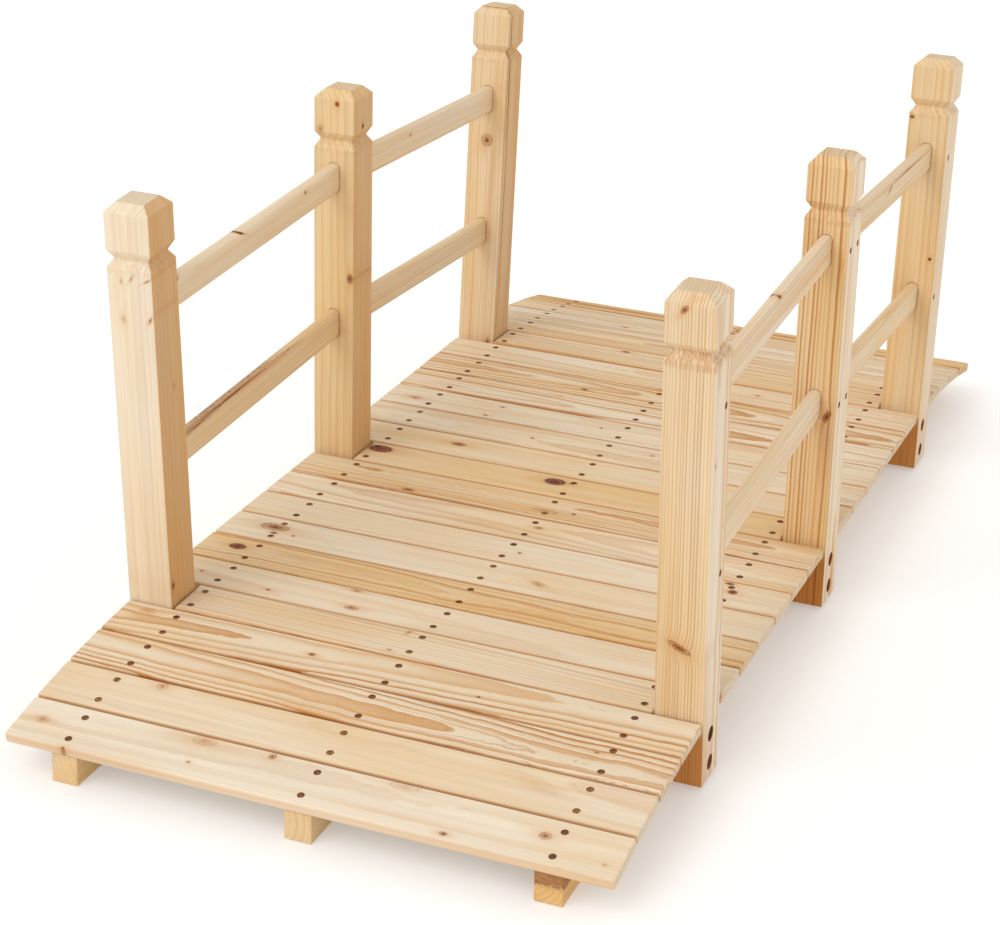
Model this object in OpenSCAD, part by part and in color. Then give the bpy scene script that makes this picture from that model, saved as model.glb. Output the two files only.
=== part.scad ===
// Garden footbridge: 23 deck boards on three stringers, six posts and eight side rails.
// Lengths in mm. X runs along the bridge, Y across it and Z up from the floor.
// The middle of the deck is flat and both ends curve down. The stringers stand on the floor
// and the posts, which are bolted to the outer stringers, hang just clear of it.

/* [Deck] */
// Width of a full-length board, measured along the bridge
board_width = 62; // [48:0.5:76]
// Width of the three short boards that lie between the posts
slot_board_width = 60; // [46:0.5:72]
// Open joint between neighbouring boards
board_gap = 3; // [2:0.5:6]
// Thickness of every deck board
board_thickness = 12; // [9:0.5:18]
// Height of the deck surface above the floor at mid-span
deck_height = 84; // [70:1:106]
// Distance from the middle of an end slot back to where the deck starts to curve down
curve_start_inset = 40; // [0:1:110]
// Radius of the deck surface where it curves down at each end
curve_radius = 1400; // [1100:10:2300]

/* [Width] */
// Clear walkway width between the posts of the two sides
clear_width = 558; // [460:1:740]
// How far the board ends stop short of the outer faces of the posts
board_end_inset = 1; // [0:0.5:8]
// Joint between the ends of the short boards and the posts
short_board_gap = 2; // [1:0.5:6]

/* [Stringers] */
// Thickness of each stringer, measured across the bridge
stringer_width = 30; // [22:0.5:44]
// How far the end boards project past the ends of the stringers
board_overhang = 5; // [2:0.5:20]

/* [Posts] */
// Height of the top of a middle post above the floor
post_height = 552; // [450:1:690]
// Width of a post, measured across the bridge
post_width = 53; // [42:0.5:66]
// Joint between an end post and the board beyond it
post_joint = 2; // [1.5:0.5:4]
// Slack between a middle post and the boards before and behind it
post_slack = 6.5; // [4:0.5:9]
// Outward lean of the end posts, in degrees
post_lean = 4; // [0:0.5:8]
// Gap between the feet of the posts and the floor
foot_gap = 5; // [0:0.5:10]
// Width and height of the bevel round the top of each post
cap_bevel = 10; // [5:0.5:14]
// Height of the square block above the groove, bevel included
cap_height = 52; // [42:0.5:64]
// Height of the V-groove round each post
groove_height = 19.5; // [14:0.5:26]
// Depth of the V-groove
groove_depth = 6; // [3:0.5:9]

/* [Rails] */
// Height of the section of a rail
rail_height = 37; // [30:0.5:46]
// Thickness of a rail
rail_thickness = 14.5; // [12:0.5:20]
// Radius worked along the four long edges of a rail
rail_edge_radius = 6; // [3:0.5:7]
// Drop from the top of a middle post to the middle of the upper rail
upper_rail_drop = 106.5; // [98:0.5:124]
// Distance between the middles of the upper and lower rails
rail_spacing = 186.5; // [145:0.5:230]
// Fall of the rails towards the ends of the bridge, in degrees
rail_fall = 2.6; // [0:0.1:5]
// Wood left between the two rail sockets that meet in a middle post
socket_web = 7; // [4:0.5:14]
// Clearance all round a rail in its socket
socket_clearance = 0.3; // [0.2:0.05:0.6]

/* [Bolts] */
// Diameter of the counterbores in the outer faces of the posts
counterbore_diameter = 16.5; // [12:0.5:20]
// Depth of the counterbores
counterbore_depth = 11; // [6:0.5:20]
// Diameter of the bolt holes through posts and outer stringers
bolt_hole_diameter = 8.5; // [6.5:0.5:11]
// Height of the lower bolts above the floor
lower_bolt_height = 22.5; // [16:0.5:28]
// Distance from the top of the stringers down to the upper bolts
upper_bolt_drop = 15.5; // [11:0.5:18]

/* [Hidden] */
$fn = 48;
curve_facets = 720;
half_boards = 11;
slot_station = 7;
pitch = board_width + board_gap;
slot_shrink = board_width - slot_board_width;
slot_length = slot_board_width + 2 * board_gap;
post_depth = slot_length - 2 * post_slack;
flat_half = board_run(slot_station) - curve_start_inset;

post_inner = clear_width / 2;
post_outer = post_inner + post_width;
post_middle = post_inner + post_width / 2;
full_board_length = 2 * (post_outer - board_end_inset);
short_board_length = clear_width - 2 * short_board_gap;

stringer_height = deck_height - board_thickness;
stringer_curve_radius = curve_radius - board_thickness;
stringer_line = post_inner - stringer_width / 2;
deck_half_length = board_run(half_boards) + board_width / 2;
stringer_half_length = curve_x(deck_half_length) - board_overhang;

upper_bolt_height = stringer_height - upper_bolt_drop;
upper_rail_height = post_height - upper_rail_drop;
lower_rail_height = upper_rail_height - rail_spacing;

// The post at each end stands close against the board beyond its slot.
end_post_run = board_run(slot_station) + slot_length / 2 - post_joint - post_depth / 2;
end_post_x = curve_x(end_post_run);
end_post_z = deck_height - curve_drop(end_post_run);
post_above_deck = post_height - deck_height;
post_foot_reach = 2 * deck_height;
socket_depth = (post_depth - socket_web) / 2;
end_face_x = end_post_x - post_depth / 2;
cutter = 2 * post_height;

// Distance along the deck surface from mid-span to the middle of a board.
function board_run(steps) =
    steps * pitch
    - slot_shrink / 2 * ((steps > 0 ? 1 : 0)
        + (steps >= slot_station ? 1 : 0)
        + (steps > slot_station ? 1 : 0));

// Angle, X and drop of the deck surface at a distance along it from mid-span.
function curve_angle(run) = run <= flat_half ? 0 : (run - flat_half) / curve_radius * 180 / PI;
function curve_x(run) = run <= flat_half ? run : flat_half + curve_radius * sin(curve_angle(run));
function curve_drop(run) = curve_radius * (1 - cos(curve_angle(run)));

// Places a child drawn at the origin with its top on the deck surface.
module on_deck(steps) {
    side = steps < 0 ? -1 : 1;
    run = board_run(abs(steps));
    translate([side * curve_x(run), 0, deck_height - curve_drop(run)])
        rotate([0, side * curve_angle(run), 0])
            children();
}

// Board number, counted 1 to 23 from the near end.
module board(number) {
    steps = number - 1 - half_boards;
    in_slot = abs(steps) == slot_station || steps == 0;
    width = in_slot ? slot_board_width : board_width;
    length = in_slot ? short_board_length : full_board_length;
    color("burlywood")
        on_deck(steps)
            translate([-width / 2, -length / 2, -board_thickness])
                cube([width, length, board_thickness]);
}

// Half of the stringer outline: straight foot, flat top, curved end.
module stringer_half_outline() {
    square([flat_half, stringer_height]);
    intersection() {
        translate([flat_half / 2, 0])
            square([stringer_half_length - flat_half / 2, stringer_height]);
        translate([flat_half, deck_height - curve_radius])
            circle(r = stringer_curve_radius, $fn = curve_facets);
    }
}

module stringer(y) {
    color("peru")
        translate([0, y + stringer_width / 2, 0])
            difference() {
                rotate([90, 0, 0])
                    linear_extrude(height = stringer_width) {
                        stringer_half_outline();
                        mirror([1, 0])
                            stringer_half_outline();
                    }
                if (y != 0)
                    translate([0, -stringer_width / 2, 0])
                        for (station = [-1, 0, 1])
                            bolt_bores(station, bolt_hole_diameter, stringer_width + 2);
            }
}

// Two bores along Y at a post station, centred on the drawing plane.
module bolt_bores(station, diameter, length) {
    for (z = [lower_bolt_height, upper_bolt_height])
        translate([post_axis_x(station, z), 0, z])
            rotate([90, 0, 0])
                cylinder(d = diameter, h = length, center = true);
}

// X of the middle line of a post at a height above the floor.
function post_axis_x(station, z) =
    station * (end_post_x + (z - end_post_z) * tan(post_lean));

// Side view of a post: bevelled cap and V-groove, standing on its deck line.
module post_outline(width) {
    half = width / 2;
    top = post_above_deck;
    groove_top = top - cap_height;
    polygon([
        [-half, -post_foot_reach],
        [half, -post_foot_reach],
        [half, groove_top - groove_height],
        [half - groove_depth, groove_top - groove_height / 2],
        [half, groove_top],
        [half, top - cap_bevel],
        [half - cap_bevel, top],
        [-half + cap_bevel, top],
        [-half, top - cap_bevel],
        [-half, groove_top],
        [-half + groove_depth, groove_top - groove_height / 2],
        [-half, groove_top - groove_height]
    ]);
}

module post_blank() {
    intersection() {
        translate([0, post_width / 2, 0])
            rotate([90, 0, 0])
                linear_extrude(height = post_width)
                    post_outline(post_depth);
        translate([-post_depth / 2, 0, 0])
            rotate([90, 0, 90])
                linear_extrude(height = post_depth)
                    post_outline(post_width);
    }
}

// Post at station -1, 0 or 1 on the side -1 (right) or 1 (left).
module post(station, side) {
    color("wheat")
        translate([0, side * post_middle, 0])
            difference() {
                translate([station * end_post_x, 0, station == 0 ? deck_height : end_post_z])
                    rotate([0, station * post_lean, 0])
                        post_blank();
                translate([-cutter, -cutter, foot_gap - cutter])
                    cube([2 * cutter, 2 * cutter, cutter]);
                if (station <= 0)
                    rail_pair(-1, socket_clearance);
                if (station >= 0)
                    rail_pair(1, socket_clearance);
                bolt_bores(station, bolt_hole_diameter, post_width + 2);
                translate([0, side * post_width / 2, 0])
                    bolt_bores(station, counterbore_diameter, 2 * counterbore_depth);
            }
}

module rail_pair(direction, clearance) {
    rail_bar(direction, upper_rail_height, clearance);
    rail_bar(direction, lower_rail_height, clearance);
}

// Bar with rounded long edges running from the middle post to the end post.
module rail_bar(direction, height, clearance) {
    start = socket_web / 2 / cos(rail_fall);
    face_run = end_face_x + (height - end_face_x * tan(rail_fall) - end_post_z) * tan(post_lean);
    finish = (face_run + socket_depth) / cos(rail_fall);
    translate([0, 0, height])
        rotate([0, direction < 0 ? 180 - rail_fall : rail_fall, 0])
            translate([start - clearance, 0, 0])
                rotate([90, 0, 90])
                    linear_extrude(height = finish - start + 2 * clearance)
                        rail_section(clearance);
}

module rail_section(clearance) {
    radius = rail_edge_radius + clearance;
    across = rail_thickness + 2 * clearance;
    up = rail_height + 2 * clearance;
    square([across, up - 2 * radius], center = true);
    square([across - 2 * radius, up], center = true);
    for (y = [-1, 1], z = [-1, 1])
        translate([y * (across / 2 - radius), z * (up / 2 - radius)])
            circle(r = radius);
}

module rail(direction, height, side) {
    color("navajowhite")
        translate([0, side * post_middle, 0])
            rail_bar(direction, height, 0);
}

module board_01() { board(1); }
module board_02() { board(2); }
module board_03() { board(3); }
module board_04() { board(4); }
module board_05() { board(5); }
module board_06() { board(6); }
module board_07() { board(7); }
module board_08() { board(8); }
module board_09() { board(9); }
module board_10() { board(10); }
module board_11() { board(11); }
module board_12() { board(12); }
module board_13() { board(13); }
module board_14() { board(14); }
module board_15() { board(15); }
module board_16() { board(16); }
module board_17() { board(17); }
module board_18() { board(18); }
module board_19() { board(19); }
module board_20() { board(20); }
module board_21() { board(21); }
module board_22() { board(22); }
module board_23() { board(23); }
module stringer_left() { stringer(stringer_line); }
module stringer_middle() { stringer(0); }
module stringer_right() { stringer(-stringer_line); }
module post_near_left() { post(-1, 1); }
module post_middle_left() { post(0, 1); }
module post_far_left() { post(1, 1); }
module post_near_right() { post(-1, -1); }
module post_middle_right() { post(0, -1); }
module post_far_right() { post(1, -1); }
module rail_upper_near_left() { rail(-1, upper_rail_height, 1); }
module rail_lower_near_left() { rail(-1, lower_rail_height, 1); }
module rail_upper_far_left() { rail(1, upper_rail_height, 1); }
module rail_lower_far_left() { rail(1, lower_rail_height, 1); }
module rail_upper_near_right() { rail(-1, upper_rail_height, -1); }
module rail_lower_near_right() { rail(-1, lower_rail_height, -1); }
module rail_upper_far_right() { rail(1, upper_rail_height, -1); }
module rail_lower_far_right() { rail(1, lower_rail_height, -1); }

board_01();
board_02();
board_03();
board_04();
board_05();
board_06();
board_07();
board_08();
board_09();
board_10();
board_11();
board_12();
board_13();
board_14();
board_15();
board_16();
board_17();
board_18();
board_19();
board_20();
board_21();
board_22();
board_23();
stringer_left();
stringer_middle();
stringer_right();
post_near_left();
post_middle_left();
post_far_left();
post_near_right();
post_middle_right();
post_far_right();
rail_upper_near_left();
rail_lower_near_left();
rail_upper_far_left();
rail_lower_far_left();
rail_upper_near_right();
rail_lower_near_right();
rail_upper_far_right();
rail_lower_far_right();
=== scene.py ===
import math
import random

import bmesh
import bpy
from mathutils import Matrix, Vector


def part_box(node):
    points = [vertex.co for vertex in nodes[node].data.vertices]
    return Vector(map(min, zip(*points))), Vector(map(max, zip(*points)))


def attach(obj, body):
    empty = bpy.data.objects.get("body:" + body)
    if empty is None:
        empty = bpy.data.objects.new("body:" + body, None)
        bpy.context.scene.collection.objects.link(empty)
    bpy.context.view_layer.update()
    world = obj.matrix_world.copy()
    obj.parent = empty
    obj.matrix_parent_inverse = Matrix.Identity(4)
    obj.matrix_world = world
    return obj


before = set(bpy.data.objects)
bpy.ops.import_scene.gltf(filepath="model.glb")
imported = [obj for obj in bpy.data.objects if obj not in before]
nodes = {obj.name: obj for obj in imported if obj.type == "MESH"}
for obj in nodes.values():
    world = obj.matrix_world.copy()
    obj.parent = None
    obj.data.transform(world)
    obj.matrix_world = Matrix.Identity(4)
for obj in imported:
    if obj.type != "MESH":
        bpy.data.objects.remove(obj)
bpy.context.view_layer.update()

# A wooden garden footbridge: 23 deck boards on three stringers, six posts and eight rails, all of
# them CAD nodes. This script gives them their wood and adds the screws, the bolts and their holes.
MM = 0.001


# ---------------------------------------------------------------- node helpers
class Graph:
    """Short names for building one node tree."""

    def __init__(self, tree):
        self.tree = tree

    def add(self, kind, **settings):
        node = self.tree.nodes.new(kind)
        for name, value in settings.items():
            setattr(node, name, value)
        return node

    def put(self, value, socket):
        if isinstance(value, bpy.types.NodeSocket):
            self.tree.links.new(value, socket)
        else:
            socket.default_value = value

    def math(self, op, a, b=0.0, c=0.0, clamp=False):
        node = self.add("ShaderNodeMath", operation=op, use_clamp=clamp)
        for value, socket in zip((a, b, c), node.inputs):
            self.put(value, socket)
        return node.outputs[0]

    def vector(self, op, a, b=(0.0, 0.0, 0.0)):
        node = self.add("ShaderNodeVectorMath", operation=op)
        self.put(a, node.inputs[0])
        self.put(b, node.inputs[1])
        return node.outputs["Value" if op in ("DOT_PRODUCT", "LENGTH") else "Vector"]

    def join(self, x, y, z):
        node = self.add("ShaderNodeCombineXYZ")
        for value, socket in zip((x, y, z), node.inputs):
            self.put(value, socket)
        return node.outputs[0]

    def split(self, vector):
        node = self.add("ShaderNodeSeparateXYZ")
        self.put(vector, node.inputs[0])
        return node.outputs

    def ramp(self, value, low, high, out_low=0.0, out_high=1.0):
        """A smooth step from one value to another, as the input goes from low to high."""
        node = self.add("ShaderNodeMapRange", interpolation_type="SMOOTHSTEP")
        for v, socket in zip((value, low, high, out_low, out_high), node.inputs):
            self.put(v, socket)
        return node.outputs[0]

    def noise(self, vector, scale=1.0, detail=2.0, roughness=0.5):
        node = self.add("ShaderNodeTexNoise")
        self.put(vector, node.inputs["Vector"])
        node.inputs["Scale"].default_value = scale
        node.inputs["Detail"].default_value = detail
        node.inputs["Roughness"].default_value = roughness
        return node.outputs["Fac"]

    def mix(self, factor, a, b, blend="MIX"):
        node = self.add("ShaderNodeMix", data_type="RGBA", blend_type=blend)
        self.put(factor, node.inputs["Factor"])
        self.put(a, node.inputs[6])
        self.put(b, node.inputs[7])
        return node.outputs[2]


def rgb(*channels):
    """sRGB 0-255 to a linear colour."""
    linear = [c / 12.92 if c <= 0.04045 else ((c + 0.055) / 1.055) ** 2.4
              for c in (channel / 255 for channel in channels)]
    return (*linear, 1.0)


def group(name, inputs, outputs):
    """A new node group: its graph, and the sockets to read from and write to."""
    tree = bpy.data.node_groups.new(name, "ShaderNodeTree")
    for label, kind, value in inputs:
        socket = tree.interface.new_socket(label, in_out="INPUT", socket_type=kind)
        if value is not None:
            socket.default_value = value
    for label, kind in outputs:
        tree.interface.new_socket(label, in_out="OUTPUT", socket_type=kind)
    g = Graph(tree)
    return g, g.add("NodeGroupInput").outputs, g.add("NodeGroupOutput").inputs


FLOAT, VEC, COL = "NodeSocketFloat", "NodeSocketVector", "NodeSocketColor"

# ------------------------------------------------------------------- knot group
# Adds one knot to the running totals: how far it pushes the growth rings, its core, its rim and
# the warm halo round it. A knot is an ellipse in the plane of the face, with a ragged outline.
g, i, o = group(
    "knot",
    [
        ("Place", VEC, None), ("Ragged", FLOAT, 0.5), ("U", FLOAT, 0.0), ("V", FLOAT, 0.0),
        ("Long", FLOAT, 0.01), ("Wide", FLOAT, 0.008), ("Turn", FLOAT, 0.0), ("Dark", FLOAT, 0.5),
        ("Push", FLOAT, 0.004), ("Shift", FLOAT, 0.0), ("Core", FLOAT, 0.0), ("Rim", FLOAT, 0.0),
        ("Halo", FLOAT, 0.0),
    ],
    [("Shift", FLOAT), ("Core", FLOAT), ("Rim", FLOAT), ("Halo", FLOAT)],
)
u, v = g.split(i["Place"])[:2]
du = g.math("SUBTRACT", u, i["U"])
dv = g.math("SUBTRACT", v, i["V"])
cos_t, sin_t = g.math("COSINE", i["Turn"]), g.math("SINE", i["Turn"])
along = g.math("ADD", g.math("MULTIPLY", du, cos_t), g.math("MULTIPLY", dv, sin_t))
across = g.math("SUBTRACT", g.math("MULTIPLY", dv, cos_t), g.math("MULTIPLY", du, sin_t))
along = g.math("DIVIDE", along, i["Long"])
across = g.math("DIVIDE", across, i["Wide"])
along_2, across_2 = g.math("MULTIPLY", along, along), g.math("MULTIPLY", across, across)
# d is 0 at the knot's centre and 1 at its outline.
d = g.math("SQRT", g.math("ADD", along_2, across_2))
d = g.math("MULTIPLY_ADD", g.math("SUBTRACT", i["Ragged"], 0.5), 0.55, d)
firm = g.math("MULTIPLY_ADD", i["Dark"], 0.95, -0.15)
core = g.math("MULTIPLY", g.ramp(d, firm, 1.08, 1.0, 0.0), i["Dark"])
rings = g.math("MULTIPLY_ADD", g.math("SINE", g.math("MULTIPLY", d, 17.0)), 0.16, 0.84)
core = g.math("MULTIPLY", core, rings)
pith = g.math("EXPONENT", g.math("MULTIPLY", g.math("MULTIPLY", d, d), -7.0))
pith = g.math("MULTIPLY", pith, g.ramp(i["Dark"], 0.15, 0.45))
core = g.math("MULTIPLY_ADD", pith, 0.4, core)
edge = g.math("SUBTRACT", d, 0.97)
rim = g.math("EXPONENT", g.math("MULTIPLY", g.math("MULTIPLY", edge, edge), -38.0))
rim = g.math("MULTIPLY", rim, g.math("MULTIPLY", i["Dark"], g.ramp(i["Ragged"], 0.3, 0.62)))
# The halo and the bent rings reach further along the grain than across it.
stretch = g.math("MULTIPLY", along, 0.55)
far = g.math("ADD", g.math("MULTIPLY", stretch, stretch), across_2)
halo = g.math("EXPONENT", g.math("MULTIPLY", far, -0.5))
halo = g.math("MULTIPLY", halo, g.math("MULTIPLY_ADD", i["Dark"], 0.75, 0.3))
push = g.math("MULTIPLY", g.math("EXPONENT", g.math("MULTIPLY", far, -0.42)), i["Push"])
g.put(g.math("ADD", i["Shift"], push), o["Shift"])
g.put(g.math("MAXIMUM", i["Core"], core), o["Core"])
g.put(g.math("MAXIMUM", i["Rim"], rim), o["Rim"])
g.put(g.math("MAXIMUM", i["Halo"], halo), o["Halo"])
knot_group = g.tree

# ------------------------------------------------------------------- pine group
# Sawn and planed pine. Place is in metres in the piece's own axes: x along the grain, y across the
# face and z out of it. The growth rings are cones round a wandering pith, so flat-sawn faces show
# cathedrals, quarter-sawn ones show straight lines and the ends show arcs, all from one solid.
PALE_WOOD = rgb(231, 216, 192)
PLAIN_WOOD = rgb(215, 191, 151)
WARM_WOOD = rgb(223, 184, 121)
ROSY_WOOD = rgb(223, 196, 168)
VEIN = rgb(215, 165, 97)
LATE_LIGHT, LATE_DARK = rgb(208, 152, 82), rgb(188, 128, 66)
FINE_LINE = rgb(178, 122, 78)
FLECK = rgb(170, 122, 80)
KNOT_HALO = rgb(208, 148, 80)
KNOT_LIGHT, KNOT_BROWN, KNOT_DARK = rgb(184, 116, 60), rgb(134, 58, 22), rgb(84, 28, 10)
KNOT_RIM = rgb(70, 28, 12)
TORN_GRAIN = rgb(190, 132, 78)
PORE_DARK, PORE_LIGHT = rgb(190, 170, 142), rgb(216, 203, 181)
# A warm darker tint: painted shade on the boards' narrow faces in the gaps, on the posts below the
# deck and on the left posts' inner sides.
PAINTED_SHADE_TINT = rgb(224, 181, 130)
# Painted shade in screw holes and counterbores: the wood there is painted dark.
HOLE_SHADE_DARK, HOLE_SHADE_LIGHT = rgb(84, 40, 20), rgb(138, 72, 36)

g, i, o = group(
    "pine",
    [
        ("Place", VEC, None), ("Seed", FLOAT, 0.0), ("Pith V", FLOAT, 0.0),
        ("Pith W", FLOAT, -0.03), ("Slope V", FLOAT, 0.0), ("Slope W", FLOAT, 0.0),
        ("Ring", FLOAT, 0.004), ("Wave", FLOAT, 0.004), ("Contrast", FLOAT, 0.5),
        ("Flame", FLOAT, 0.3),
        ("Lines", FLOAT, 0.5), ("Warm", FLOAT, 0.3), ("Pale", FLOAT, 0.5), ("End", FLOAT, 0.0),
        ("Grey", FLOAT, 0.8), ("Hole Shade", FLOAT, 0.0), ("Painted Shade", FLOAT, 0.0), ("Torn", FLOAT, 0.0),
        ("Shift", FLOAT, 0.0), ("Core", FLOAT, 0.0), ("Rim", FLOAT, 0.0), ("Halo", FLOAT, 0.0),
    ],
    [("Color", COL), ("Roughness", FLOAT), ("Height", FLOAT)],
)
seed = i["Seed"]
u, v, w = g.split(i["Place"])[:3]
own_spot = g.join(*(g.math("MULTIPLY", seed, k) for k in (1.7, 0.61, 0.37)))
su, sv, sw = g.split(g.vector("ADD", i["Place"], own_spot))[:3]


def stretched(ku, kv, kw, detail=2.0, roughness=0.5):
    """Noise with its own number of cycles per metre along, across and into the piece."""
    scaled = (g.math("MULTIPLY", s, k) for s, k in ((su, ku), (sv, kv), (sw, kw)))
    return g.noise(g.join(*scaled), 1.0, detail, roughness)


wander_v = g.math("SUBTRACT", stretched(3.1, 2.0, 2.0), 0.5)
wander_w = g.math("SUBTRACT", stretched(2.3, 1.3, 5.0), 0.5)
off_v = g.math("SUBTRACT", v, g.math("MULTIPLY_ADD", u, i["Slope V"], i["Pith V"]))
off_v = g.math("SUBTRACT", off_v, g.math("MULTIPLY", g.math("MULTIPLY", wander_v, i["Wave"]), 4.0))
off_w = g.math("SUBTRACT", w, g.math("MULTIPLY_ADD", u, i["Slope W"], i["Pith W"]))
off_w = g.math("SUBTRACT", off_w, g.math("MULTIPLY", g.math("MULTIPLY", wander_w, i["Wave"]), 4.0))
radius = g.math("ADD", g.math("MULTIPLY", off_v, off_v), g.math("MULTIPLY", off_w, off_w))
radius = g.math("ADD", g.math("SQRT", radius), i["Shift"])
ripple = g.math("SUBTRACT", stretched(26.0, 60.0, 60.0, 3.0, 0.6), 0.5)
rough_edge = g.math("SUBTRACT", stretched(120.0, 260.0, 260.0, 2.0), 0.5)

# turns counts the rings out from the pith, part is the place within one, and late is how far the
# wood there is dark late wood.
turns = g.math("DIVIDE", radius, i["Ring"])
turns = g.math("ADD", turns, g.math("MULTIPLY", ripple, g.math("MULTIPLY", i["Flame"], 1.3)))
turns = g.math("ADD", turns, g.math("MULTIPLY", rough_edge, g.math("MULTIPLY", i["Flame"], 0.30)))
uneven = g.noise(g.join(g.math("MULTIPLY", turns, 0.31), seed, 0.0), 1.0, 1.0)
turns = g.math("ADD", turns, g.math("MULTIPLY", uneven, 1.9))
part = g.math("FRACT", turns)
number = g.math("FLOOR", turns)
white = g.add("ShaderNodeTexWhiteNoise", noise_dimensions="2D")
g.put(g.join(number, g.math("FLOOR", g.math("MULTIPLY", seed, 7.0)), 0.0), white.inputs["Vector"])
each = white.outputs["Value"]
late = g.math("MULTIPLY", g.ramp(part, 0.25, 0.90), g.ramp(part, 0.93, 1.0, 1.0, 0.0))
late = g.math("POWER", late, 1.5)
late = g.math("MULTIPLY", late, g.math("MULTIPLY_ADD", each, 0.75, 0.25))

# Fine parallel lines where the rings are tight.
fine = g.math("FRACT", g.math("MULTIPLY", turns, 3.0))
fine = g.math("MULTIPLY", g.ramp(fine, 0.55, 0.92), g.ramp(fine, 0.94, 1.0, 1.0, 0.0))
patch = g.ramp(stretched(2.0, 14.0, 14.0, 1.0), 0.42, 0.62)
fine = g.math("MULTIPLY", g.math("MULTIPLY", fine, patch), i["Lines"])

fibre = g.math("SUBTRACT", stretched(14.0, 900.0, 900.0, 2.0, 0.6), 0.5)
streak = g.math("SUBTRACT", stretched(2.6, 120.0, 120.0, 3.0, 0.6), 0.5)
cloud = g.math("SUBTRACT", stretched(4.0, 16.0, 16.0, 2.0), 0.5)
cloud_b = g.math("SUBTRACT", stretched(5.0, 22.0, 12.0, 1.0), 0.5)
fleck = g.ramp(stretched(55.0, 760.0, 760.0, 1.0), 0.70, 0.80)

pale = g.mix(i["Pale"], PLAIN_WOOD, PALE_WOOD)
warm = g.math("ADD", i["Warm"], g.math("MULTIPLY", cloud, 1.3), clamp=True)
body = g.mix(warm, pale, WARM_WOOD)
rosy = g.math("MULTIPLY", g.math("ADD", cloud_b, 0.10), 0.6, clamp=True)
body = g.mix(rosy, body, ROSY_WOOD)
vein = g.ramp(stretched(1.8, 64.0, 64.0, 3.0, 0.55), 0.50, 0.74)
vein = g.math("MULTIPLY", vein, g.math("MULTIPLY_ADD", i["Lines"], 0.5, 0.25))
body = g.mix(vein, body, VEIN)
tone = g.math("MULTIPLY", late, i["Contrast"], clamp=True)
color = g.mix(tone, body, g.mix(each, LATE_LIGHT, LATE_DARK))
color = g.mix(g.math("MULTIPLY", fine, 0.55), color, FINE_LINE)
color = g.mix(g.math("MULTIPLY", fleck, 0.18), color, FLECK)
light = g.math("ADD", g.math("MULTIPLY", fibre, 0.13), g.math("MULTIPLY", streak, 0.24))
light = g.math("ADD", 1.0, light)
color = g.mix(1.0, color, g.join(light, light, light), "MULTIPLY")

color = g.mix(g.math("MULTIPLY", i["Halo"], 0.6), color, KNOT_HALO)
heart = g.mix(g.ramp(ripple, -0.2, 0.2), KNOT_DARK, KNOT_BROWN)
heart = g.mix(g.ramp(i["Core"], 0.25, 0.95), KNOT_LIGHT, heart)
color = g.mix(g.math("POWER", i["Core"], 0.7), color, heart)
color = g.mix(g.math("MULTIPLY", i["Rim"], 0.9), color, KNOT_RIM)
torn = g.ramp(stretched(30.0, 430.0, 300.0, 2.0, 0.6), 0.42, 0.60)
torn = g.math("MULTIPLY", torn, i["Torn"])
color = g.mix(g.math("MULTIPLY", torn, 0.55), color, TORN_GRAIN)

# The ends show the open pores: greyer, rougher and a little speckled.
pores = stretched(40.0, 1500.0, 1500.0, 1.0)
ends = g.mix(0.55, color, g.mix(g.ramp(pores, 0.35, 0.7), PORE_DARK, PORE_LIGHT))
color = g.mix(g.math("MULTIPLY", i["End"], i["Grey"]), color, ends)
# Painted shade: a warm darker tint where the gaps between boards, the deck and the posts' inner
# sides would shade the wood.
color = g.mix(i["Painted Shade"], color, g.mix(1.0, color, PAINTED_SHADE_TINT, "MULTIPLY"))
# Painted shade in screw holes and counterbores, dark wood there.
shaded_hole_color = g.mix(g.ramp(ripple, -0.15, 0.15), HOLE_SHADE_DARK, HOLE_SHADE_LIGHT)
color = g.mix(i["Hole Shade"], color, shaded_hole_color)
g.put(color, o["Color"])
rough = g.math("ADD", 0.56, g.math("MULTIPLY", fibre, 0.2))
rough = g.math("ADD", rough, g.math("MULTIPLY", i["End"], 0.2))
g.put(rough, o["Roughness"])
height = g.math("ADD", g.math("MULTIPLY", fibre, 0.55), g.math("MULTIPLY", late, 0.35))
height = g.math("ADD", height, g.math("MULTIPLY", i["Core"], 0.6))
height = g.math("ADD", height, g.math("MULTIPLY", g.math("MULTIPLY", pores, i["End"]), 1.2))
height = g.math("SUBTRACT", height, g.math("MULTIPLY", fleck, 0.5))
height = g.math("ADD", height, g.math("MULTIPLY", torn, 2.5))
g.put(height, o["Height"])
pine_group = g.tree


# -------------------------------------------------------- each piece's own axes
def long_axis(obj):
    """The direction that the piece's faces are most nearly parallel to, from their areas."""
    total = Matrix(((0.0,) * 3,) * 3)
    for face in obj.data.polygons:
        n = face.normal
        for r in range(3):
            for c in range(3):
                total[r][c] += face.area * n[r] * n[c]
    # Inverse iteration gives the eigenvector with the smallest eigenvalue.
    inverse = (total + Matrix.Identity(3) * 1e-9).inverted()
    axis = Vector((0.3, 0.5, 0.8))
    for _ in range(60):
        axis = (inverse @ axis).normalized()
    return axis


def axes_of(name):
    """Centre and axes of a node: along the grain, across the face, out of the face."""
    obj = nodes[name]
    kind = name.split("_")[0]
    grain = long_axis(obj)
    lead = {"board": Vector((0, 1, 0)), "post": Vector((0, 0, 1))}.get(kind, Vector((1, 0, 0)))
    grain = grain if grain.dot(lead) > 0 else -grain
    out = {"post": Vector((-1, 0, 0))}.get(kind, Vector((0, 1, 0)))
    if kind == "board":
        upper = (f for f in obj.data.polygons if f.normal.z > 0.5)
        out = max(upper, key=lambda f: f.area).normal.copy()
    out = (out - grain * out.dot(grain)).normalized()
    low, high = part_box(name)
    return (low + high) / 2, grain, grain.cross(out), out


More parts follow.
